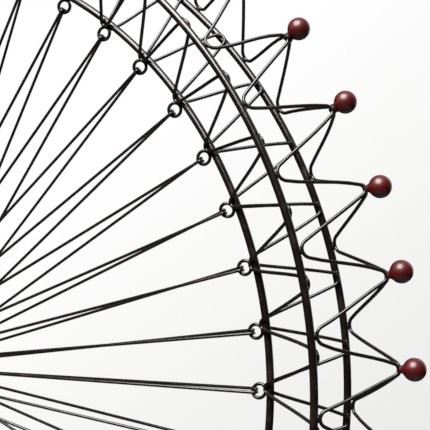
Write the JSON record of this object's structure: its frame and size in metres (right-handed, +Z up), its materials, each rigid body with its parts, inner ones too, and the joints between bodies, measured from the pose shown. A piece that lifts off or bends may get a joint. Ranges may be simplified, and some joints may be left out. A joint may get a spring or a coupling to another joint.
{
  "type": "hand-cranked ferris wheel toy",
  "caption": "Wire ferris wheel on a rod stand, with hooked spokes, a zigzag rim truss, a crown of bent wire tipped with painted balls, and a hand crank with a turning knob.",
  "frame": {"origin": "on the floor under the middle of the hub, at the bottom centre of the bounding box", "axes": "+Z up; Y along the axle, with the crank at the front on -Y; X across the wheel"},
  "size_m": [0.7266, 0.2402, 0.751],
  "materials": {
    "wheel_wire": "dark brown-black wire with worn bright lines, half gloss",
    "oxblood_ball": "oxblood paint, half gloss",
    "oxblood_knob": "turned wood painted oxblood, half gloss",
    "hub_steel": "blackened turned steel",
    "screw_steel": "plain steel",
    "stand_rod": "dark brown-black rod, half gloss",
    "foot_rubber": "matt black",
    "bush_brass": "plain turned brass"
  },
  "bodies": {
    "stand": {"front_legs": "stand_rod", "rear_legs": "stand_rod", "front_cross_bar": "stand_rod", "rear_cross_bar": "stand_rod", "base_frame": "stand_rod", "feet": "foot_rubber", "front_bearing_sleeve": "stand_rod", "rear_bearing_sleeve": "stand_rod", "axle_bushes": "bush_brass"},
    "wheel": {"front_rim_ring": "wheel_wire", "rear_rim_ring": "wheel_wire", "inner_ring": "wheel_wire", "front_lattice_wire": "wheel_wire", "rear_lattice_wire": "wheel_wire", "front_crown_wire": "wheel_wire", "rear_crown_wire": "wheel_wire", "spoke_eyelets": "wheel_wire", "front_spokes": "wheel_wire", "rear_spokes": "wheel_wire", "tip_balls": "oxblood_ball", "hub_barrel": "hub_steel", "hub_set_screws": "screw_steel", "front_hub_flange": "hub_steel", "rear_hub_flange": "hub_steel", "thrust_washers": "hub_steel", "axle": "hub_steel", "axle_collar": "hub_steel", "lock_screws": "screw_steel", "crank_arm": "hub_steel", "crank_pin": "hub_steel", "pin_nut": "screw_steel"},
    "knob": {"crank_knob": "oxblood_knob"}
  },
  "joints": [
    {"name": "wheel_spin", "type": "hinge", "parent": "stand", "child": "wheel", "pos_m": [0, 0, 0.38752], "axis": [0, 1, 0], "continuous": true},
    {"name": "crank_knob_spin", "type": "hinge", "parent": "wheel", "child": "knob", "pos_m": [0, -0.085, 0.32752], "axis": [0, 1, 0], "continuous": true}
  ]
}
